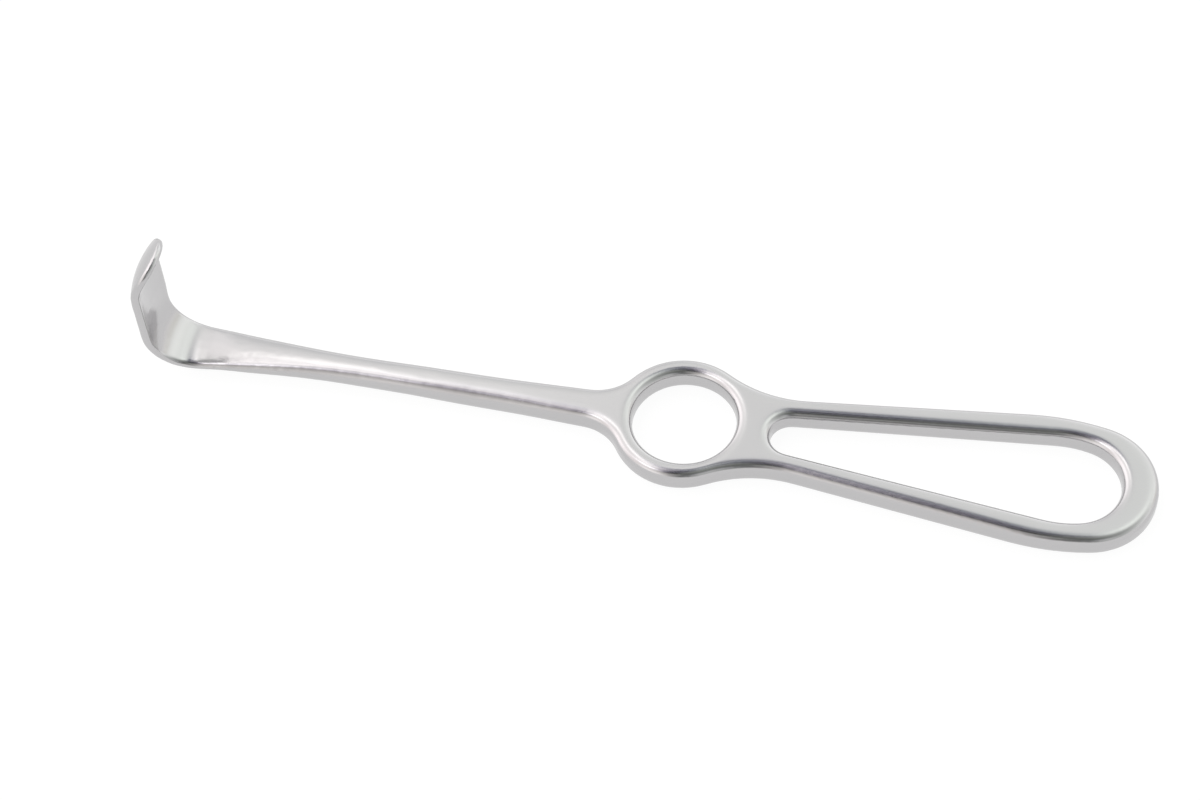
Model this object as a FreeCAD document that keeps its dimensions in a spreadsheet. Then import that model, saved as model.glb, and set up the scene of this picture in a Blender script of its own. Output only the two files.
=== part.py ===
import FreeCAD, Part
import math
import os

import Sketcher
from FreeCAD import Placement, Rotation, Vector

# Hand-held retractor, one forging ground all over.
# Frame: origin at the centre of the finger ring, half way up the handle, +X to the loop end, +Z up.
# The shank runs to -X, bends up into the blade, and the blade's end curls back into a lip.

SIZES = (
    # Finger ring
    ("ring_bore", 24.5, "inner diameter of the finger ring"),
    ("ring_wall", 4.6, "width of the ring's rim"),
    ("ring_shift", 0.4, "offset of the outer circle to the shank, which thickens the rim there"),
    ("handle_thickness", 6.2, "ring and loop, flat to flat"),
    ("handle_round", 1.9, "rounding of every edge of the ring and the loop"),
    # Neck, where the ring runs into the shank
    ("neck_reach", 6.65, "from the ring's outer circle to the first section of the shank"),
    ("neck_width", 8.4, "width of the shank's first section"),
    ("neck_fillet", 11.3, "hollow between ring and shank, seen from above"),
    # Loop of the handle
    ("loop_end", 110.2, "from the ring's centre to the end of the loop"),
    ("loop_width", 34.2, "widest place of the loop"),
    ("loop_shoulder", 60.0, "large radius that joins an arm to the loop's end"),
    ("loop_squareness", 0.8, "how much the end radius is smaller than half the width"),
    ("arm_angle", 6.85, "each arm's outer edge to the axis"),
    ("yoke_fillet", 31.0, "hollow between ring and arm, seen from above"),
    ("window_web", 8.15, "metal between the ring's bore and the loop's window"),
    ("window_rim", 5.65, "metal beside the window at its widest place"),
    ("window_tip", 8.3, "metal between the window and the end of the loop"),
    ("window_shoulder", 24.0, "radius that joins the window's straight side to its end"),
    ("window_squareness", 0.35, "how much the window's end radius is smaller than half its width"),
    ("window_angle", 5.95, "each straight side of the window to the axis"),
    # Shank
    ("shank_reach", 130.5, "from the ring's centre to the back of the blade"),
    ("waist_from_heel", 44.0, "from the start of the bend to the narrowest section"),
    ("waist_width", 7.2, "narrowest width of the shank"),
    ("shank_round", 2.5, "rounding of the shank's edges between neck and waist"),
    ("shank_crown", 11.0, "radius of the shank's arched top between waist and heel"),
    # Heel, where the shank turns up into the blade
    ("heel_radius", 11.7, "outer radius of the bend"),
    ("heel_thickness", 2.4, "thickness at the start of the bend"),
    ("heel_rise", 1.6, "how far the underside there lies above that of the handle"),
    # Blade
    ("blade_stretch", 13.6, "straight stretch of the back between the bend and the lip"),
    ("blade_width", 15.2, "widest place of the blade, half way up that stretch"),
    ("blade_thickness", 2.2, "thickness of the blade"),
    ("blade_hollow", 27.0, "radius of the hollow across the blade and the lip"),
    ("blade_round", 0.6, "rounding of the edges of the blade and the lip"),
    # Lip
    ("lip_radius", 13.4, "outer radius of the lip"),
    ("lip_angle", 61.0, "turn of the lip towards the handle"),
    ("lip_thickness", 1.6, "thickness at the end of the lip"),
    ("lip_side", 300.0, "radius of the lip's sides, seen square to the lip"),
)

# Sections as shares of the way, with how much the top bulges there; below 0 the section is hollow
NECK_TO_WAIST = ((0.09, 0.0), (0.28, 0.0), (0.63, 0.5))
WAIST_TO_HEEL = ((0.0, 1.0), (0.25, 1.0), (0.5, 0.95), (0.75, 0.7))
HEEL_SHARES = ((0.0, 0.1), (0.25, -0.03), (0.5, -0.27), (0.75, -0.68), (1.0, -0.97))
WIDENING_SHARES = ((0.5, -1.0), (1.0, -1.0))
LIP_SHARES = (0.0, 0.25, 0.5, 0.75)
# How the forms grow between those places
TAPER_POWER = 1.5
FLARE_POWER = 1.1
RISE_POWER = 1.67
THINNING_POWER = 2.8
WALL_SHARE = 0.46
# The lip is cut out square to it at this share of its turn
CUT_SHARE = 0.7
# The strip that the lip is cut from is larger than the lip by this
ALLOWANCE = 2.0
CLOSE = 1e-5

doc = FreeCAD.newDocument("retractor")
sheet = doc.addObject("Spreadsheet::Sheet", "Sizes")
for row, (alias, value, meaning) in enumerate(SIZES, start=1):
    sheet.set("A%d" % row, alias)
    sheet.set("B%d" % row, str(value))
    sheet.set("C%d" % row, meaning)
    sheet.setAlias("B%d" % row, alias)
doc.recompute()


def size(alias):
    return float(sheet.get(alias))


def cell(alias):
    return "Sizes." + alias


def between(first, last, share):
    """Expression for the value at a share of the way from one expression to another."""
    return "(%s + (%s - %s) * %.6f)" % (first, last, first, share)


def ease(share):
    """0 to 1 with a level start and a level end."""
    return share * share * (3 - 2 * share)


def worked_out(expression):
    """The number that an expression of the sheet's cells gives now."""
    return float(sheet.evalExpression(expression))


# Places that follow from the sizes
RING_RADIUS = "(Sizes.ring_bore / 2 + Sizes.ring_wall)"
NECK_X = "(-Sizes.ring_shift - %s - Sizes.neck_reach)" % RING_RADIUS
HEEL_X = "(Sizes.heel_radius - Sizes.shank_reach)"
WAIST_X = "(%s + Sizes.waist_from_heel)" % HEEL_X
UNDERSIDE = "(-Sizes.handle_thickness / 2)"
HEEL_Z = "(%s + Sizes.heel_rise)" % UNDERSIDE
BACK_X = "(-Sizes.shank_reach)"
BLADE_Z = "(%s + Sizes.heel_radius)" % HEEL_Z
WIDEST_Z = "(%s + Sizes.blade_stretch / 2)" % BLADE_Z
LIP_Z = "(%s + Sizes.blade_stretch)" % BLADE_Z
HEEL_ARC = "(Sizes.heel_radius * pi / 2)"
FLARE_LENGTH = "(Sizes.waist_from_heel + %s + Sizes.blade_stretch / 2)" % HEEL_ARC
CUT_ANGLE = "(Sizes.lip_angle * %.2f)" % CUT_SHARE


def along_shank(x):
    """Share of the way from the neck to the heel."""
    return "((%s - %s) / (%s - %s))" % (x, NECK_X, HEEL_X, NECK_X)


def thickness_at(x):
    share = "%s ^ %s" % (along_shank(x), THINNING_POWER)
    return "(Sizes.handle_thickness - (Sizes.handle_thickness - Sizes.heel_thickness) * %s)" % share


def underside_at(x):
    share = "(%s ^ %s)" % (along_shank(x), RISE_POWER)
    return "(%s + Sizes.heel_rise * %s ^ 2 * (3 - 2 * %s))" % (UNDERSIDE, share, share)


WAIST_ROUND = "min(Sizes.shank_round; %s * %s)" % (WALL_SHARE, thickness_at(WAIST_X))

body = doc.addObject("PartDesign::Body", "retractor")
body.Label = "retractor"


def origin_plane(role):
    return [item for item in body.Origin.OriginFeatures if item.Role == role][0]


def new_sketch(name, role):
    sketch = body.newObject("Sketcher::SketchObject", name)
    sketch.AttachmentSupport = (origin_plane(role), [""])
    sketch.MapMode = "FlatFace"
    return sketch


class Outline:
    """A closed outline of lines and arcs that touch end to end, with named dimensions."""

    def __init__(self, sketch):
        self.sketch = sketch
        self.ends = []

    def line(self, start, end):
        edge = self.sketch.addGeometry(Part.LineSegment(Vector(*start), Vector(*end)))
        self.ends.append((edge, 1, 2))
        return edge

    def arc(self, centre, radius, start, end):
        """An arc from the start angle to the end angle, in degrees, either way round."""
        forward = end > start
        low, high = sorted((math.radians(start), math.radians(end)))
        circle = Part.Circle(Vector(*centre), Vector(0, 0, 1), radius)
        edge = self.sketch.addGeometry(Part.ArcOfCircle(circle, low, high))
        self.ends.append((edge, 1, 2) if forward else (edge, 2, 1))
        return edge

    def close(self, corners=()):
        """Join each piece to the next, tangent to it unless the joint is a corner."""
        for place, (edge, _, end) in enumerate(self.ends):
            following, start, _ = self.ends[(place + 1) % len(self.ends)]
            kind = "Coincident" if place in corners else "Tangent"
            self.sketch.addConstraint(Sketcher.Constraint(kind, edge, end, following, start))

    def on_axis(self, edge, point, axis):
        self.sketch.addConstraint(Sketcher.Constraint("PointOnObject", edge, point, axis))

    def level(self, edge):
        self.sketch.addConstraint(Sketcher.Constraint("Horizontal", edge))

    def upright(self, edge):
        self.sketch.addConstraint(Sketcher.Constraint("Vertical", edge))

    def dimension(self, name, expression, kind, *where, unit=1.0):
        value = worked_out(expression) * unit
        number = self.sketch.addConstraint(Sketcher.Constraint(kind, *where, value))
        self.sketch.renameConstraint(number, name)
        suffix = " * 1 deg" if kind == "Angle" else ""
        self.sketch.setExpression("Constraints." + name, expression + suffix)


HORIZONTAL_AXIS, VERTICAL_AXIS = -1, -2
START, END, CENTRE = 1, 2, 3


def far_end(end_x, half_width, end_radius, shoulder, angle):
    """Centres and turning angles of the loop's end: a small arc, then a shoulder into a straight side."""
    centre_y = half_width - shoulder
    centre_x = end_x - end_radius - math.sqrt((shoulder - end_radius) ** 2 - centre_y ** 2)
    turn = math.degrees(math.atan2(-centre_y, end_x - end_radius - centre_x))
    touch_angle = 90 + angle
    touch = (centre_x + shoulder * math.cos(math.radians(touch_angle)),
             centre_y + shoulder * math.sin(math.radians(touch_angle)))
    return (centre_x, centre_y), turn, touch_angle, touch


def meeting(first, first_reach, second, second_reach, side):
    """The point at two given distances from two centres, on the side with the given sign."""
    gap = math.hypot(second[0] - first[0], second[1] - first[1])
    along = (first_reach ** 2 - second_reach ** 2 + gap ** 2) / (2 * gap)
    across = side * math.sqrt(first_reach ** 2 - along ** 2)
    unit = ((second[0] - first[0]) / gap, (second[1] - first[1]) / gap)
    return (first[0] + along * unit[0] - across * unit[1], first[1] + along * unit[1] + across * unit[0])


def heading(start, end):
    return math.degrees(math.atan2(end[1] - start[1], end[0] - start[0]))


def flipped(point):
    return (point[0], -point[1])


def handle_outline():
    """Outer edge of ring and loop from above, closed by a straight cut where the shank begins."""
    outline = Outline(new_sketch("handle_outline", "XY_Plane"))
    half_width = size("loop_width") / 2
    end_radius = half_width - size("loop_squareness")
    shoulder = size("loop_shoulder")
    slope = math.radians(size("arm_angle"))
    end_centre = (size("loop_end") - end_radius, 0)
    shoulder_centre, turn, touch_angle, arm_far = far_end(
        size("loop_end"), half_width, end_radius, shoulder, size("arm_angle"))

    ring_radius = worked_out(RING_RADIUS)
    ring_centre = (-size("ring_shift"), 0)
    yoke = size("yoke_fillet")
    # The yoke's centre lies its radius outside the arm's line and outside the ring
    normal = (-math.sin(slope), math.cos(slope))
    offset = normal[0] * (arm_far[0] - ring_centre[0]) + normal[1] * arm_far[1] + yoke
    along = math.sqrt((ring_radius + yoke) ** 2 - offset ** 2)
    yoke_centre = (ring_centre[0] + offset * normal[0] + along * math.cos(slope),
                   offset * normal[1] + along * math.sin(slope))
    arm_near = (yoke_centre[0] - yoke * normal[0], yoke_centre[1] - yoke * normal[1])
    yoke_turn = heading(yoke_centre, ring_centre)
    ring_low = heading(ring_centre, yoke_centre)

    neck_end = (worked_out(NECK_X), size("neck_width") / 2)
    neck = size("neck_fillet")
    neck_centre = meeting(ring_centre, ring_radius + neck, neck_end, neck, -1)
    ring_high = heading(ring_centre, neck_centre)
    neck_turn = heading(neck_centre, ring_centre)
    neck_last = heading(neck_centre, neck_end)

    end = outline.arc(end_centre, end_radius, -turn, turn)
    shoulder_up = outline.arc(shoulder_centre, shoulder, turn, touch_angle)
    arm_up = outline.line(arm_far, arm_near)
    yoke_up = outline.arc(yoke_centre, yoke, touch_angle - 180, yoke_turn)
    ring_up = outline.arc(ring_centre, ring_radius, ring_low, ring_high)
    neck_up = outline.arc(neck_centre, neck, neck_turn, neck_last)
    cut = outline.line(neck_end, flipped(neck_end))
    neck_down = outline.arc(flipped(neck_centre), neck, -neck_last, -neck_turn)
    ring_down = outline.arc(ring_centre, ring_radius, -ring_high, -ring_low)
    yoke_down = outline.arc(flipped(yoke_centre), yoke, -yoke_turn, 180 - touch_angle)
    arm_down = outline.line(flipped(arm_near), flipped(arm_far))
    shoulder_down = outline.arc(flipped(shoulder_centre), shoulder, -touch_angle, -turn)
    outline.close(corners=(5, 6))

    half = "(Sizes.loop_width / 2)"
    outline.on_axis(end, CENTRE, HORIZONTAL_AXIS)
    outline.dimension("end_radius", half + " - Sizes.loop_squareness", "Radius", end)
    outline.dimension("end_centre", "Sizes.loop_end - %s + Sizes.loop_squareness" % half,
                      "DistanceX", -1, 1, end, CENTRE)
    for side, sign, shoulder_arc, arm, yoke_arc, ring_arc, neck_arc in (
            ("upper", 1, shoulder_up, arm_up, yoke_up, ring_up, neck_up),
            ("lower", -1, shoulder_down, arm_down, yoke_down, ring_down, neck_down)):
        outline.dimension(side + "_shoulder", cell("loop_shoulder"), "Radius", shoulder_arc)
        below = "Sizes.loop_shoulder - " + half
        if sign > 0:
            outline.dimension(side + "_shoulder_drop", below, "DistanceY", shoulder_arc, CENTRE, -1, 1)
            outline.dimension(side + "_arm_angle", cell("arm_angle"), "Angle", HORIZONTAL_AXIS, 1,
                              arm, 2, unit=math.pi / 180)
        else:
            outline.dimension(side + "_shoulder_drop", below, "DistanceY", -1, 1, shoulder_arc, CENTRE)
            outline.dimension(side + "_arm_angle", cell("arm_angle"), "Angle", arm, 1,
                              HORIZONTAL_AXIS, 1, unit=math.pi / 180)
        outline.dimension(side + "_yoke", cell("yoke_fillet"), "Radius", yoke_arc)
        outline.dimension(side + "_ring", RING_RADIUS, "Radius", ring_arc)
        outline.on_axis(ring_arc, CENTRE, HORIZONTAL_AXIS)
        outline.dimension(side + "_ring_shift", cell("ring_shift"), "DistanceX", ring_arc, CENTRE, -1, 1)
        outline.dimension(side + "_neck", cell("neck_fillet"), "Radius", neck_arc)
    outline.upright(cut)
    outline.dimension("neck_x", "-" + NECK_X, "DistanceX", cut, 1, -1, 1)
    outline.dimension("neck_upper", "Sizes.neck_width / 2", "DistanceY", -1, 1, cut, 1)
    outline.dimension("neck_lower", "Sizes.neck_width / 2", "DistanceY", cut, 2, -1, 1)
    return outline.sketch


def window_outline():
    """The opening of the loop: a small round end, two straight sides and a wide round end."""
    outline = Outline(new_sketch("window_outline", "XY_Plane"))
    half = "(Sizes.loop_width / 2 - Sizes.window_rim)"
    end_x = "(Sizes.loop_end - Sizes.window_tip)"
    start_x = "(Sizes.ring_bore / 2 + Sizes.window_web)"
    half_width = worked_out(half)
    end_radius = half_width - size("window_squareness")
    shoulder = size("window_shoulder")
    slope = math.radians(size("window_angle"))
    end_centre = (worked_out(end_x) - end_radius, 0)
    shoulder_centre, turn, touch_angle, side_far = far_end(
        worked_out(end_x), half_width, end_radius, shoulder, size("window_angle"))
    start = worked_out(start_x)
    start_height = side_far[1] + math.tan(slope) * (start - side_far[0])
    narrow = start_height * math.cos(slope) / (1 - math.sin(slope))
    narrow_centre = (start + narrow, 0)
    side_near = (narrow_centre[0] - narrow * math.sin(slope), narrow * math.cos(slope))

    end = outline.arc(end_centre, end_radius, -turn, turn)
    shoulder_up = outline.arc(shoulder_centre, shoulder, turn, touch_angle)
    side_up = outline.line(side_far, side_near)
    narrow_up = outline.arc(narrow_centre, narrow, touch_angle, 180)
    narrow_down = outline.arc(narrow_centre, narrow, 180, 360 - touch_angle)
    side_down = outline.line(flipped(side_near), flipped(side_far))
    shoulder_down = outline.arc(flipped(shoulder_centre), shoulder, -touch_angle, -turn)
    outline.close()

    outline.on_axis(end, CENTRE, HORIZONTAL_AXIS)
    outline.dimension("end_radius", half + " - Sizes.window_squareness", "Radius", end)
    outline.dimension("end_centre", end_x + " - " + half + " + Sizes.window_squareness",
                      "DistanceX", -1, 1, end, CENTRE)
    outline.on_axis(narrow_up, 2, HORIZONTAL_AXIS)
    outline.on_axis(narrow_up, CENTRE, HORIZONTAL_AXIS)
    outline.dimension("start_x", start_x, "DistanceX", -1, 1, narrow_up, 2)
    drop = "Sizes.window_shoulder - " + half
    outline.dimension("upper_shoulder", cell("window_shoulder"), "Radius", shoulder_up)
    outline.dimension("lower_shoulder", cell("window_shoulder"), "Radius", shoulder_down)
    outline.dimension("upper_drop", drop, "DistanceY", shoulder_up, CENTRE, -1, 1)
    outline.dimension("lower_drop", drop, "DistanceY", -1, 1, shoulder_down, CENTRE)
    outline.dimension("upper_angle", cell("window_angle"), "Angle", HORIZONTAL_AXIS, 1, side_up, 2,
                      unit=math.pi / 180)
    outline.dimension("lower_angle", cell("window_angle"), "Angle", side_down, 1, HORIZONTAL_AXIS, 1,
                      unit=math.pi / 180)
    return outline.sketch


def bore_outline():
    sketch = new_sketch("bore_outline", "XY_Plane")
    circle = sketch.addGeometry(Part.Circle(Vector(0, 0, 0), Vector(0, 0, 1), size("ring_bore") / 2))
    sketch.addConstraint(Sketcher.Constraint("Coincident", circle, CENTRE, -1, 1))
    number = sketch.addConstraint(Sketcher.Constraint("Diameter", circle, size("ring_bore")))
    sketch.renameConstraint(number, "bore")
    sketch.setExpression("Constraints.bore", cell("ring_bore"))
    return sketch


def cut_through(name, sketch):
    before = body.Tip.Shape.Volume
    pocket = body.newObject("PartDesign::Pocket", name)
    pocket.Profile = sketch
    pocket.Type = "ThroughAll"
    pocket.SideType = "Symmetric"
    doc.recompute()
    if pocket.Shape.Volume > before - 1:
        raise RuntimeError(name + " cuts nothing")
    return pocket


def place_section(sketch, x, z, angle):
    """Set a sketch square to the path, at its point on the underside or back of the piece."""
    sketch.AttachmentOffset = Placement(
        Vector(0, worked_out(z), worked_out(x)), Rotation(Vector(1, 0, 0), worked_out(angle)))
    sketch.setExpression(".AttachmentOffset.Base.y", z)
    sketch.setExpression(".AttachmentOffset.Base.z", x)
    sketch.setExpression(".AttachmentOffset.Rotation.Angle", angle)


def section(name, x, z, angle, width, thickness, rounding, crown=None, hollow=None):
    """One section of the shank or the blade: a rounded rectangle across its path.

    All arguments but the name are expressions: the path's point on the underside or back, its turn up
    from the shank in degrees, and the section's sizes. The far side is flat, or an arc of the radius
    crown that bulges. With the radius hollow, both sides are arcs about one centre above them.
    """
    sketch = new_sketch(name, "YZ_Plane")
    place_section(sketch, x, z, angle)
    half = worked_out(width) / 2
    high = worked_out(thickness)
    corner = worked_out(rounding)
    reach = half - corner
    low_y, low_turn = corner, -90.0
    high_y, high_turn = high - corner, 90.0
    if crown:
        bow = worked_out(crown)
        bow_y = high - bow
        high_y = bow_y + math.sqrt((bow - corner) ** 2 - reach ** 2)
        high_turn = heading((0, bow_y), (reach, high_y))
    if hollow:
        bow_y = worked_out(hollow)
        low_y = bow_y - math.sqrt((bow_y - corner) ** 2 - reach ** 2)
        low_turn = heading((0, bow_y), (reach, low_y))
        high_y = bow_y - math.sqrt((bow_y - high + corner) ** 2 - reach ** 2)
        high_turn = heading((reach, high_y), (0, bow_y))

    outline = Outline(sketch)
    if hollow:
        bottom = outline.arc((0, bow_y), bow_y, -180 - low_turn, low_turn)
    else:
        bottom = outline.line((-reach, 0), (reach, 0))
    low_right = outline.arc((reach, low_y), corner, low_turn, 0)
    side_right = outline.line((half, low_y), (half, high_y))
    high_right = outline.arc((reach, high_y), corner, 0, high_turn)
    if crown:
        top = outline.arc((0, bow_y), bow, high_turn, 180 - high_turn)
    elif hollow:
        top = outline.arc((0, bow_y), bow_y - high, high_turn - 180, -high_turn)
    else:
        top = outline.line((reach, high), (-reach, high))
    high_left = outline.arc((-reach, high_y), corner, 180 - high_turn, 180)
    side_left = outline.line((-half, high_y), (-half, low_y))
    low_left = outline.arc((-reach, low_y), corner, 180, 180 - low_turn)
    outline.close()

    outline.upright(side_right)
    outline.upright(side_left)
    outline.dimension("right", width + " / 2", "DistanceX", -1, 1, side_right, START)
    outline.dimension("left", width + " / 2", "DistanceX", side_left, END, -1, 1)
    for place, edge in (("low_right", low_right), ("low_left", low_left),
                        ("high_right", high_right), ("high_left", high_left)):
        outline.dimension(place, rounding, "Radius", edge)
    if hollow:
        outline.on_axis(bottom, CENTRE, VERTICAL_AXIS)
        outline.dimension("low_bow", hollow, "Radius", bottom)
        outline.dimension("low_bow_y", hollow, "DistanceY", -1, 1, bottom, CENTRE)
        outline.on_axis(top, CENTRE, VERTICAL_AXIS)
        outline.dimension("high_bow", "%s - %s" % (hollow, thickness), "Radius", top)
        outline.dimension("high_bow_y", hollow, "DistanceY", -1, 1, top, CENTRE)
        return sketch
    outline.on_axis(bottom, START, HORIZONTAL_AXIS)
    outline.level(bottom)
    if crown:
        outline.on_axis(top, CENTRE, VERTICAL_AXIS)
        outline.dimension("high_bow", crown, "Radius", top)
        outline.dimension("high_bow_y", "%s - %s" % (crown, thickness), "DistanceY", top, CENTRE, -1, 1)
    else:
        outline.level(top)
        outline.dimension("high", thickness, "DistanceY", -1, 1, top, START)
    return sketch


def bowed(share):
    """The crown or the hollow that a share stands for: above 0 it bulges, below 0 it is hollow."""
    if share > 0:
        return {"crown": "Sizes.shank_crown / %.3f" % share}
    if share < 0:
        return {"hollow": "Sizes.blade_hollow / %.3f" % -share}
    return {}


def flare(way, first, last):
    """Expression for a value that grows from the waist to the blade's widest place, at a way along them."""
    share = "(((%s) / %s) ^ %.2f)" % (way, FLARE_LENGTH, FLARE_POWER)
    return "(%s + (%s - %s) * %s ^ 2 * (3 - 2 * %s))" % (first, last, first, share, share)


def flared_section(name, x, z, angle, way, thickness, bow):
    width = flare(way, cell("waist_width"), cell("blade_width"))
    rounding = flare(way, WAIST_ROUND, cell("blade_round"))
    return section(name, x, z, angle, width, thickness, rounding, **bowed(bow))


def shank_sections():
    """From the neck, past the waist, to just before the bend."""
    sections = [section("neck_section", NECK_X, UNDERSIDE, "0", cell("neck_width"),
                        cell("handle_thickness"), cell("handle_round"))]
    settled = NECK_TO_WAIST[1][0]
    for share, bow in NECK_TO_WAIST:
        x = between(NECK_X, WAIST_X, share)
        width = between(cell("waist_width"), cell("neck_width"), (1 - share) ** TAPER_POWER)
        rounding = between(cell("handle_round"), WAIST_ROUND, ease(min(1, share / settled)))
        sections.append(section("taper_section", x, underside_at(x), "0", width, thickness_at(x),
                                rounding, **bowed(bow)))
    for share, bow in WAIST_TO_HEEL:
        x = between(WAIST_X, HEEL_X, share)
        way = "%.3f * Sizes.waist_from_heel" % share
        sections.append(flared_section("flare_section", x, underside_at(x), "0", way, thickness_at(x), bow))
    return sections


def heel_sections():
    """Round the bend and up to the blade's widest place."""
    sections = []
    for share, bow in HEEL_SHARES:
        turn = math.radians(90 * share)
        x = "(%s + Sizes.heel_radius * %.6f)" % (BACK_X, 1 - math.sin(turn))
        z = "(%s + Sizes.heel_radius * %.6f)" % (HEEL_Z, 1 - math.cos(turn))
        way = "Sizes.waist_from_heel + %s * %.2f" % (HEEL_ARC, share)
        thickness = between(cell("blade_thickness"), cell("heel_thickness"), (1 - share) ** 2)
        sections.append(flared_section("heel_section", x, z, "%.3f" % (90 * share), way, thickness, bow))
    for share, bow in WIDENING_SHARES:
        way = "Sizes.waist_from_heel + %s + Sizes.blade_stretch / 2 * %.2f" % (HEEL_ARC, share)
        sections.append(flared_section("blade_section", BACK_X, between(BLADE_Z, WIDEST_Z, share), "90", way,
                                       cell("blade_thickness"), bow))
    return sections


def strip_section(name, x, z, angle, thickness):
    """One section of the strip that the lip is cut from: two arcs about one centre, and two sides."""
    sketch = new_sketch(name, "YZ_Plane")
    place_section(sketch, x, z, angle)
    width = "(Sizes.blade_width + %.1f)" % (2 * ALLOWANCE)
    half = worked_out(width) / 2
    bow = size("blade_hollow")
    inner = bow - worked_out(thickness)
    low = math.degrees(math.acos(half / bow))
    high = math.degrees(math.acos(half / inner))
    low_y = bow - bow * math.sin(math.radians(low))
    high_y = bow - inner * math.sin(math.radians(high))
    outline = Outline(sketch)
    bottom = outline.arc((0, bow), bow, low - 180, -low)
    right = outline.line((half, low_y), (half, high_y))
    top = outline.arc((0, bow), inner, -high, high - 180)
    left = outline.line((-half, high_y), (-half, low_y))
    outline.close(corners=(0, 1, 2, 3))
    for arc in (bottom, top):
        outline.on_axis(arc, CENTRE, VERTICAL_AXIS)
    outline.upright(right)
    outline.upright(left)
    outline.dimension("right", width + " / 2", "DistanceX", -1, 1, right, START)
    outline.dimension("left", width + " / 2", "DistanceX", left, END, -1, 1)
    outline.dimension("low_bow", cell("blade_hollow"), "Radius", bottom)
    outline.dimension("low_bow_y", cell("blade_hollow"), "DistanceY", -1, 1, bottom, CENTRE)
    outline.dimension("high_bow", "Sizes.blade_hollow - %s" % thickness, "Radius", top)
    outline.dimension("high_bow_y", cell("blade_hollow"), "DistanceY", -1, 1, top, CENTRE)
    return sketch


def strip_sections():
    """From the blade's widest place to beyond the end of the lip."""
    sections = []
    for share in (0.0, 0.5):
        z = between(WIDEST_Z, LIP_Z, share)
        sections.append(strip_section("strip_section", BACK_X, z, "90", cell("blade_thickness")))
    spare = math.degrees(2 * ALLOWANCE / size("lip_radius")) / size("lip_angle")
    for share in LIP_SHARES + (1.0 + spare,):
        turn = "(Sizes.lip_angle * %.4f * 1 deg)" % share
        x = "(%s + Sizes.lip_radius * (1 - cos(%s)))" % (BACK_X, turn)
        z = "(%s + Sizes.lip_radius * sin(%s))" % (LIP_Z, turn)
        thickness = between(cell("blade_thickness"), cell("lip_thickness"), share)
        angle = "90 + Sizes.lip_angle * %.4f" % share
        sections.append(strip_section("strip_section", x, z, angle, thickness))
    return sections


def lip_cut():
    """What is cut off the strip: all but a tongue with slightly round sides and a round end."""
    outline = Outline(new_sketch("lip_outline", "YZ_Plane"))
    place_section(outline.sketch, BACK_X, LIP_Z, CUT_ANGLE)
    turn = "(%s * 1 deg)" % CUT_ANGLE
    # The sides run straight from below the strip's first section to past both its rims
    foot_y = "(-Sizes.blade_stretch / 2 * cos(%s) - %.1f)" % (turn, ALLOWANCE)
    start_y = "(%s + %.1f + 2 * Sizes.blade_thickness * sin(%s))" % (foot_y, ALLOWANCE, turn)
    tip_y = "(Sizes.lip_radius * (sin(%s) + sin(Sizes.lip_angle * 1 deg - %s)))" % (turn, turn)
    half_width = "(Sizes.blade_width / 2)"
    reach = "(%s - %s)" % (tip_y, start_y)
    inset = "(Sizes.lip_side - %s)" % half_width
    end_radius = "((Sizes.lip_side ^ 2 - %s ^ 2 - %s ^ 2) / 2 / (Sizes.lip_side - %s))" % (
        inset, reach, reach)

    half, foot, start, tip = (worked_out(value) for value in (half_width, foot_y, start_y, tip_y))
    side, end = size("lip_side"), worked_out(end_radius)
    side_centre, end_centre = (half - side, start), (0, tip - end)
    touch = heading(side_centre, end_centre)
    wide, high = half + 2 * ALLOWANCE, tip + 4 * ALLOWANCE
    foot_right = outline.line((half, foot), (half, start))
    side_right = outline.arc(side_centre, side, 0, touch)
    round_end = outline.arc(end_centre, end, touch, 180 - touch)
    side_left = outline.arc((-side_centre[0], start), side, 180 - touch, 180)
    foot_left = outline.line((-half, start), (-half, foot))
    corners = [(-half, foot), (-wide, foot), (-wide, high), (wide, high), (wide, foot), (half, foot)]
    box = [outline.line(first, last) for first, last in zip(corners, corners[1:])]
    outline.close(corners=range(4, 4 + len(corners)))

    for name, side_arc, foot_line, point in (("right", side_right, foot_right, START),
                                             ("left", side_left, foot_left, END)):
        outline.dimension(name + "_side", cell("lip_side"), "Radius", side_arc)
        outline.upright(foot_line)
        outline.dimension(name + "_foot", "-" + foot_y, "DistanceY", foot_line, point, -1, 1)
    outline.dimension("right_centre", inset, "DistanceX", side_right, CENTRE, -1, 1)
    outline.dimension("left_centre", inset, "DistanceX", -1, 1, side_left, CENTRE)
    outline.dimension("right_start", "-" + start_y, "DistanceY", side_right, START, -1, 1)
    outline.dimension("left_start", "-" + start_y, "DistanceY", side_left, END, -1, 1)
    outline.dimension("end", end_radius, "Radius", round_end)
    for edge in (box[0], box[2], box[4]):
        outline.level(edge)
    for edge in (box[1], box[3]):
        outline.upright(edge)
    spare = "%s + %.1f" % (half_width, 2 * ALLOWANCE)
    outline.dimension("box_left", spare, "DistanceX", box[1], START, -1, 1)
    outline.dimension("box_right", spare, "DistanceX", -1, 1, box[3], START)
    outline.dimension("box_top", "%s + %.1f" % (tip_y, 4 * ALLOWANCE), "DistanceY", -1, 1, box[1], END)
    return outline.sketch


def rounded(name, edges, radius):
    base = body.Tip
    fillet = body.newObject("PartDesign::Fillet", name)
    fillet.Base = (base, edges)
    fillet.setExpression("Radius", cell(radius))
    doc.recompute()
    return fillet


def numbered(edges, wanted):
    return ["Edge%d" % number for number, edge in enumerate(edges, start=1) if wanted(edge)]


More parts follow.
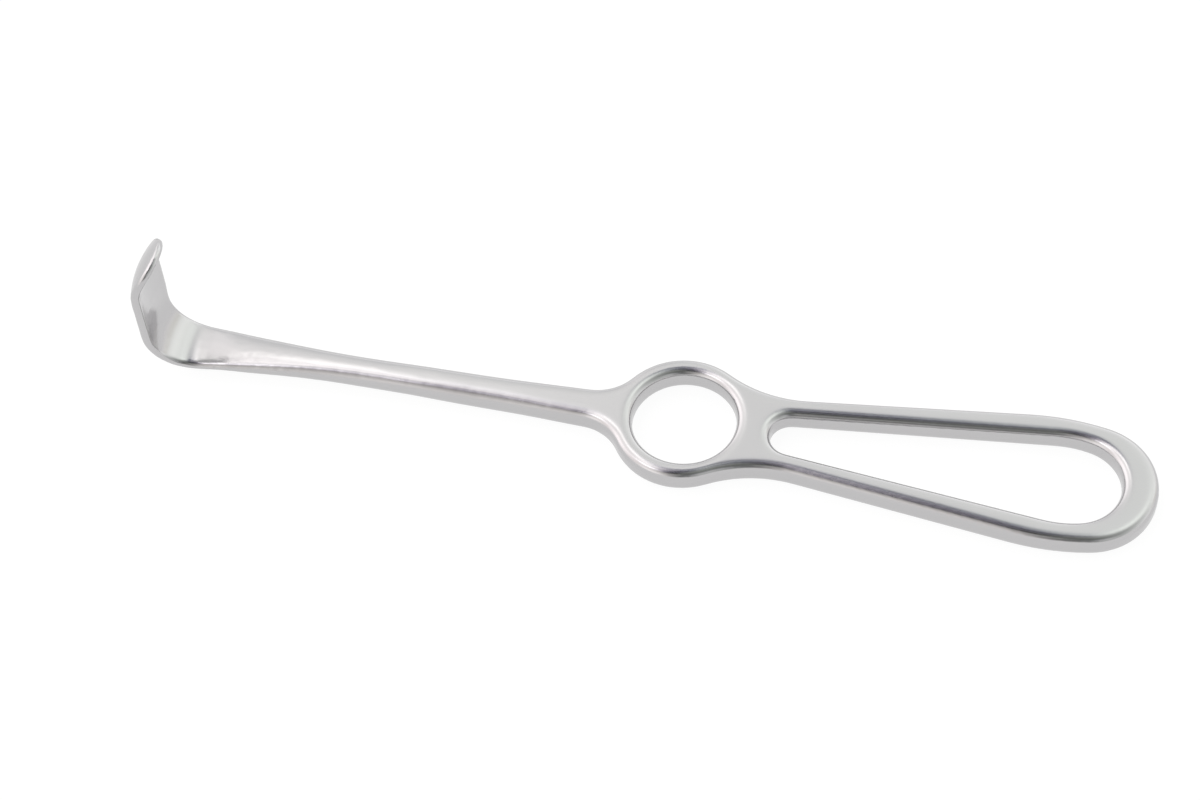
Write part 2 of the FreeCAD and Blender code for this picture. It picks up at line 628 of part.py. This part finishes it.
def lip_rims():
    """Edges of both faces of the lip, apart from those in the plane where the strip starts."""
    cut = Rotation(Vector(0, 1, 0), worked_out(CUT_ANGLE)).multVec(Vector(1, 0, 0))
    start_z = worked_out(WIDEST_Z)

    def wanted(edge):
        at_start = edge.BoundBox.ZMax < start_z + CLOSE
        first, last = (vertex.Point for vertex in (edge.Vertexes[0], edge.Vertexes[-1]))
        along_cut = (last - first).cross(cut).Length < CLOSE
        return not at_start and not along_cut
    return numbered(body.Tip.Shape.Edges, wanted)


def handle_rims():
    """Edges of the top and the underside of the handle, apart from the cut at the neck."""
    half = size("handle_thickness") / 2
    cut_x = worked_out(NECK_X)

    def wanted(edge):
        box = edge.BoundBox
        level = box.ZLength < CLOSE and abs(abs(box.ZMin) - half) < CLOSE
        return level and not (box.XLength < CLOSE and abs(box.XMin - cut_x) < CLOSE)
    return numbered(body.Tip.Shape.Edges, wanted)


def lofted(name, sections):
    loft = body.newObject("PartDesign::AdditiveLoft", name)
    loft.Profile = sections[0]
    loft.Sections = sections[1:]
    doc.recompute()
    return loft


body.AllowCompound = True
lofted("lip_strip", strip_sections())
cut_through("lip_edge", lip_cut())
rounded("lip_rims", lip_rims(), "blade_round")

outline = handle_outline()
plate = body.newObject("PartDesign::Pad", "handle")
plate.Profile = outline
plate.SideType = "Symmetric"
plate.setExpression("Length", cell("handle_thickness"))
doc.recompute()
cut_through("bore", bore_outline())
cut_through("window", window_outline())
rounded("handle_rims", handle_rims(), "handle_round")
lofted("shank", shank_sections() + heel_sections())

for item in doc.Objects:
    if "Invalid" in item.State or "Error" in item.State:
        raise RuntimeError("%s failed: %s" % (item.Name, item.getStatusString()))
shape = body.Shape
if shape.isNull() or not shape.isValid() or len(shape.Solids) != 1:
    raise RuntimeError("the retractor is not one valid solid")

os.makedirs("parts", exist_ok=True)
shape.exportStep("parts/%s.step" % body.Label)
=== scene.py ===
import math

import bmesh
import bpy
from mathutils import Matrix, Vector


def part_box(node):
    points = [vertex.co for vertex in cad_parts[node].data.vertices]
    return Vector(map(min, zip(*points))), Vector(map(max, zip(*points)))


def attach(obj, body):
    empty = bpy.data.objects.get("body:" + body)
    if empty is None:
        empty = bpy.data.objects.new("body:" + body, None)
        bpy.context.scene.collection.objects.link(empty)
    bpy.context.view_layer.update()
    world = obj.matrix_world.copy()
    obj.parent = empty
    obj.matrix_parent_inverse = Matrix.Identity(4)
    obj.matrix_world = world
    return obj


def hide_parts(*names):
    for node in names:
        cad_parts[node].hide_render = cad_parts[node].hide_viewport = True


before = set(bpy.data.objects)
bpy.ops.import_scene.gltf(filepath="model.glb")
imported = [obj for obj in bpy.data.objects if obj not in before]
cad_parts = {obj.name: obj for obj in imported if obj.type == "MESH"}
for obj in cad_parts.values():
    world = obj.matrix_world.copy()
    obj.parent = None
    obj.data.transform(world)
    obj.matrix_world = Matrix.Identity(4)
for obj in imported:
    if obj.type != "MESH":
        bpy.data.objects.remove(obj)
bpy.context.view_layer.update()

# Hand-held retractor of satin steel on a white floor. Metres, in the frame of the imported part.

# Camera: where it stands around the ring's centre, its lens, and how far off the ring it is aimed
AZIMUTH = 16.887
ELEVATION = 55.347
ROLL = -4.933
DISTANCE = 0.7039
LENS = 90.394
SENSOR = 36.0
AIM_RIGHT = 0.01971
AIM_UP = -0.005566

# The body's skin: points closer than MERGE are one, SKIN is the size of its faces, and each easing moves a
# point by EASE_SHARE towards its neighbours
MERGE = 1e-7
SKIN = 0.00036
EASE_SHARE = 0.5
EASING = 4

# Shank and handle are eased further. That fades in from the end of the heel to the start of the shank.
SHANK_EASING = 14
HEEL_END = -0.098
SHANK_START = -0.086

# Satin stainless steel. Its colour drifts between two near greys, and grain and clouds roughen its shine.
STEEL = (0.56, 0.553, 0.56, 1.0)
STEEL_BRIGHT = (0.59, 0.583, 0.59, 1.0)
METALLIC = 1.0
ROUGHNESS = 0.14
GRAIN = {"Scale": 2600.0, "Detail": 3.0}
GRAIN_ROUGHNESS = 0.05
GRAIN_BUMP = 0.05
GRAIN_DEPTH = 0.0001
CLOUDS = {"Scale": 60.0, "Detail": 2.0}
CLOUD_ROUGHNESS = 0.03

# White floor: mostly glow, so that it is white in the picture, and a little paint that takes the shadow
FLOOR_GAP = 0.00002
FLOOR_SIZE = 6.0
FLOOR_GLOW = 0.92
FLOOR_GLOW_IN_STEEL = 0.82
RAYS = ("Is Camera Ray", "Is Glossy Ray", "Is Transmission Ray")
FLOOR_PAINT = (0.12, 0.12, 0.12, 1.0)

# The room around the object, as the steel shows it. It brightens towards ROOM_RISE, is never darker than
# LEAST, and turns to HORIZON where it meets the floor.
WHITE = (1.0, 1.0, 1.0, 1.0)
ROOM = (0.93, 0.95, 0.93)
ROOM_RISE = (0.30, 0.71, -0.60)
LEAST = (0.05, 0.05, 0.05)
HORIZON = (0.95, 0.94, 0.94, 1.0)
HORIZON_SHARPNESS = 36.0

# Soft boxes in that room, and black flags, whose strength is below 0. Each has its azimuth from +X towards +Y
# and its elevation, then the angle in which it fades to about a third, all in degrees, then its strength in
# red, green and blue.
LAMPS = (
    (122, 65, 8, (1.85, 1.82, 1.75)),
    (108, 67, 6, (-1.93, -1.92, -1.74)),
    (159, 73, 7, (1.73, 1.68, 1.62)),
    (134, 80, 12, (-0.94, -0.95, -0.83)),
    (173, 33, 37, (1.36, 1.25, 1.27)),
    (-122, 20, 33, (1.43, 1.37, 1.36)),
    (110, 23, 17, (-0.48, -0.48, -0.46)),
    (61, 67, 13, (0.68, 0.73, 0.67)),
    (-147, 24, 15, (-0.35, -0.35, -0.35)),
    (-146, 63, 11, (2.12, 2.08, 2.12)),
    (31, 12, 13, (-0.45, -0.48, -0.52)),
    (-123, 70, 10, (-0.97, -0.98, -0.89)),
    (-88, 43, 6, (0.35, 0.36, 0.35)),
    (-57, 30, 16, (0.54, 0.53, 0.54)),
    (-81, 32, 25, (-0.41, -0.41, -0.39)),
    (58, 22, 14, (-0.25, -0.25, -0.25)),
    (-110, 62, 6, (-0.40, -0.40, -0.40)),
    (46, 40, 15, (0.24, 0.25, 0.22)),
)


class Socket:
    """A node's output in plain arithmetic, which adds Math nodes."""

    def __init__(self, nodes, link):
        self.nodes = nodes
        self.link = link

    def maths(self, operation, *values):
        return self.nodes.add("ShaderNodeMath", {"operation": operation}, dict(enumerate(values)))

    def __add__(self, other):
        return self.maths("ADD", self, other)

    def __radd__(self, other):
        return self.maths("ADD", other, self)

    def __sub__(self, other):
        return self.maths("SUBTRACT", self, other)

    def __rsub__(self, other):
        return self.maths("SUBTRACT", other, self)

    def __mul__(self, other):
        return self.maths("MULTIPLY", self, other)

    def __rmul__(self, other):
        return self.maths("MULTIPLY", other, self)

    def exponential(self):
        return self.maths("EXPONENT", self)


class Nodes:
    """The nodes of a material or a world, from an empty tree."""

    def __init__(self, owner):
        owner.use_nodes = True
        self.tree = owner.node_tree
        self.tree.nodes.clear()

    def add(self, kind, settings=None, sockets=None, output=0):
        """Add a node: its settings first, then the value or link of each socket. Gives one output."""
        made = self.tree.nodes.new(kind)
        for name, value in (settings or {}).items():
            setattr(made, name, value)
        for name, value in (sockets or {}).items():
            if isinstance(value, Socket):
                self.tree.links.new(value.link, made.inputs[name])
            else:
                made.inputs[name].default_value = value
        return Socket(self, made.outputs[output]) if made.outputs else None

    def mixed(self, share, first, second):
        """Mix one colour into another. The sockets for colours come after those for numbers and vectors."""
        return self.add("ShaderNodeMix", {"data_type": "RGBA"}, {0: share, 6: first, 7: second}, output=2)

    def vectors(self, operation, *values, output=0):
        return self.add("ShaderNodeVectorMath", {"operation": operation}, dict(enumerate(values)), output)


def show(thing):
    """Put a thing in the scene, at the origin."""
    made = bpy.data.objects.new(thing.name, thing)
    bpy.context.scene.collection.objects.link(made)
    return made


def ease(piece, times, group=""):
    """Even out a piece's faces, in a group of its points or everywhere, and keep the result as its mesh."""
    smooth = piece.modifiers.new("ease", "SMOOTH")
    smooth.factor = EASE_SHARE
    smooth.iterations = times
    smooth.vertex_group = group
    depsgraph = bpy.context.evaluated_depsgraph_get()
    piece.data = bpy.data.meshes.new_from_object(piece.evaluated_get(depsgraph))
    piece.modifiers.clear()


def body(solid):
    """The solid's own form under an even skin of fine faces, so that highlights run smoothly along it."""
    merged = bmesh.new()
    merged.from_mesh(solid.data)
    bmesh.ops.remove_doubles(merged, verts=merged.verts, dist=MERGE)
    mesh = bpy.data.meshes.new("body")
    merged.to_mesh(mesh)
    merged.free()
    made = show(mesh)
    skin = made.modifiers.new("skin", "REMESH")
    skin.mode = "VOXEL"
    skin.voxel_size = SKIN
    skin.use_smooth_shade = True
    ease(made, EASING)
    shank = made.vertex_groups.new(name="shank_and_handle")
    for vertex in made.data.vertices:
        share = min(max((vertex.co.x - HEEL_END) / (SHANK_START - HEEL_END), 0.0), 1.0)
        if share > 0.0:
            shank.add([vertex.index], share, "REPLACE")
    ease(made, SHANK_EASING, shank.name)
    made.vertex_groups.clear()
    return made


def steel_material():
    """Satin stainless steel, with a fine grain and faint clouds in its shine."""
    material = bpy.data.materials.new("satin_steel")
    nodes = Nodes(material)
    place = nodes.add("ShaderNodeTexCoord", output="Object")
    grain = nodes.add("ShaderNodeTexNoise", {}, {"Vector": place, **GRAIN})
    clouds = nodes.add("ShaderNodeTexNoise", {}, {"Vector": place, **CLOUDS})
    shader = nodes.add("ShaderNodeBsdfPrincipled", {}, {
        "Base Color": nodes.mixed(clouds, STEEL, STEEL_BRIGHT),
        "Metallic": METALLIC,
        "Roughness": ROUGHNESS + GRAIN_ROUGHNESS * grain + CLOUD_ROUGHNESS * clouds,
        "Normal": nodes.add("ShaderNodeBump", {}, {
            "Strength": GRAIN_BUMP, "Distance": GRAIN_DEPTH, "Height": grain})})
    nodes.add("ShaderNodeOutputMaterial", {}, {"Surface": shader})
    return material


def camera():
    """The photograph's camera: where it stands, which way it looks and how it is rolled."""
    azimuth, elevation, roll = (math.radians(angle) for angle in (AZIMUTH, ELEVATION, ROLL))
    back = Vector((math.sin(azimuth) * math.cos(elevation), -math.cos(azimuth) * math.cos(elevation),
                   math.sin(elevation)))
    level = Vector((math.cos(azimuth), math.sin(azimuth), 0.0))
    upright = back.cross(level)
    right = math.cos(roll) * level + math.sin(roll) * upright
    up = back.cross(right)
    data = bpy.data.cameras.new("camera")
    data.sensor_width = SENSOR
    data.lens = LENS
    made = show(data)
    stand = Matrix.Translation(back * DISTANCE - right * AIM_RIGHT - up * AIM_UP)
    made.matrix_world = stand @ Matrix((right, up, back)).transposed().to_4x4()
    bpy.context.scene.camera = made


def floor(height):
    """White floor. It shows as white to the camera and in the steel, and still takes the shadow."""
    corner = FLOOR_SIZE / 2
    mesh = bpy.data.meshes.new("floor")
    mesh.from_pydata([(-corner, -corner, height), (corner, -corner, height), (corner, corner, height),
                      (-corner, corner, height)], [], [(0, 1, 2, 3)])
    material = bpy.data.materials.new("white_floor")
    nodes = Nodes(material)
    to_camera, in_steel, in_glass = (nodes.add("ShaderNodeLightPath", output=ray) for ray in RAYS)
    seen = FLOOR_GLOW * (to_camera + in_glass) + FLOOR_GLOW_IN_STEEL * in_steel
    paint = nodes.add("ShaderNodeBsdfDiffuse", {}, {"Color": FLOOR_PAINT})
    glow = nodes.add("ShaderNodeEmission", {}, {"Strength": seen})
    surface = nodes.add("ShaderNodeAddShader", {}, {0: paint, 1: glow})
    nodes.add("ShaderNodeOutputMaterial", {}, {"Surface": surface})
    mesh.materials.append(material)
    show(mesh)


def aimed(azimuth, elevation):
    """The direction at an azimuth and an elevation in degrees."""
    azimuth, elevation = math.radians(azimuth), math.radians(elevation)
    return (math.cos(azimuth) * math.cos(elevation), math.sin(azimuth) * math.cos(elevation),
            math.sin(elevation))


def studio():
    """White to the camera; to the steel, a room with soft boxes and flags that fade out at their edges."""
    world = bpy.data.worlds.new("studio")
    bpy.context.scene.world = world
    nodes = Nodes(world)
    direction = nodes.add("ShaderNodeTexCoord", output="Generated")

    def towards(way):
        return nodes.vectors("DOT_PRODUCT", direction, way, output="Value")

    light = nodes.vectors("ADD", towards(ROOM_RISE), ROOM)
    for azimuth, elevation, width, strength in LAMPS:
        sharpness = 2.0 / math.radians(width) ** 2
        nearness = sharpness * towards(aimed(azimuth, elevation)) - sharpness
        light = nodes.vectors("MULTIPLY_ADD", nearness.exponential(), strength, light)
    light = nodes.vectors("MAXIMUM", light, LEAST)
    rise = towards((0.0, 0.0, 1.0))
    haze = (rise * rise * -HORIZON_SHARPNESS).exponential()
    light = nodes.mixed(haze, light, HORIZON)
    to_camera = nodes.add("ShaderNodeLightPath", output="Is Camera Ray")
    surroundings = nodes.add("ShaderNodeBackground", {}, {"Color": nodes.mixed(to_camera, light, WHITE)})
    nodes.add("ShaderNodeOutputWorld", {}, {"Surface": surroundings})


retractor = body(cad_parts["retractor"])
retractor.data.materials.append(steel_material())
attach(retractor, "root")
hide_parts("retractor")
camera()
floor(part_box("retractor")[0].z - FLOOR_GAP)
studio()
bpy.context.scene.view_settings.view_transform = "Standard"
